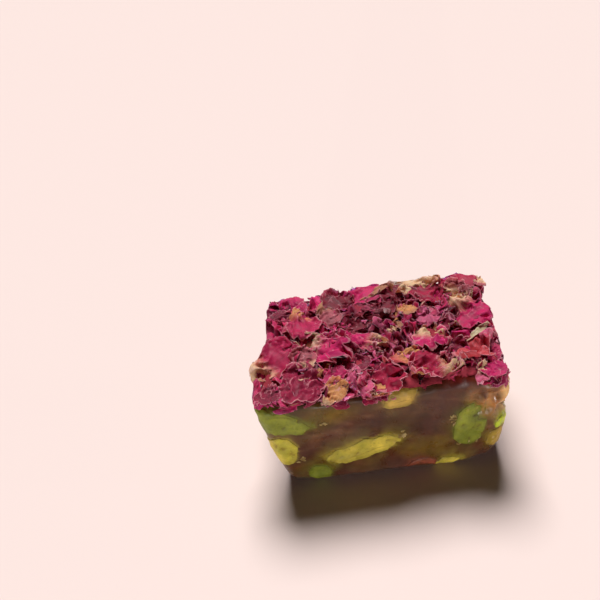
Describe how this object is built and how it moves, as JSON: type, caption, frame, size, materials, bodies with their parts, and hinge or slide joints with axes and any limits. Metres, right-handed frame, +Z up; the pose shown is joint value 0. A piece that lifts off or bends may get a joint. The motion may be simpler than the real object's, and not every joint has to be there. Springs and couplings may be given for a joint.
{
  "type": "turkish delight cube",
  "caption": "Hand-cut block of soft Turkish delight with pistachio kernels sliced at its faces, under a crust of crushed dried rose petals.",
  "frame": {"origin": "centre of the cube's bounding box in plan, on the surface that it rests on", "axes": "+X along the longest side, to the right as seen from the front face, +Y from the front face to the back, +Z up"},
  "size_m": [0.0438, 0.031, 0.0235],
  "materials": {
    "jelly": "moist translucent brown jelly, dark reddish brown with amber edges",
    "petals": "dry crumpled rose petals, crimson to magenta with golden cream ends",
    "kernel_green": "green pistachio flesh under a thin film of jelly",
    "kernel_yellow": "cut yellow green pistachio flesh",
    "kernel_skin": "red brown pistachio skin"
  },
  "bodies": {
    "root": {"jelly": "jelly", "petal_crust": "petals", "pistachio_front_leaf": "kernel_green", "pistachio_front_corner": "kernel_yellow", "pistachio_front_long": "kernel_yellow", "pistachio_front_rim": "kernel_yellow", "pistachio_front_round": "kernel_green", "pistachio_front_foot": "kernel_green", "pistachio_front_sliver": "kernel_yellow", "pistachio_front_skin": "kernel_skin", "pistachio_front_lime": "kernel_green", "pistachio_front_amber": "kernel_yellow", "pistachio_right_long": "kernel_yellow", "pistachio_right_round": "kernel_green", "pistachio_right_cut": "kernel_yellow", "pistachio_back_leaf": "kernel_green", "pistachio_back_long": "kernel_yellow", "pistachio_back_round": "kernel_yellow", "pistachio_back_low": "kernel_green", "pistachio_left_long": "kernel_yellow", "pistachio_left_round": "kernel_green"}
  },
  "joints": []
}
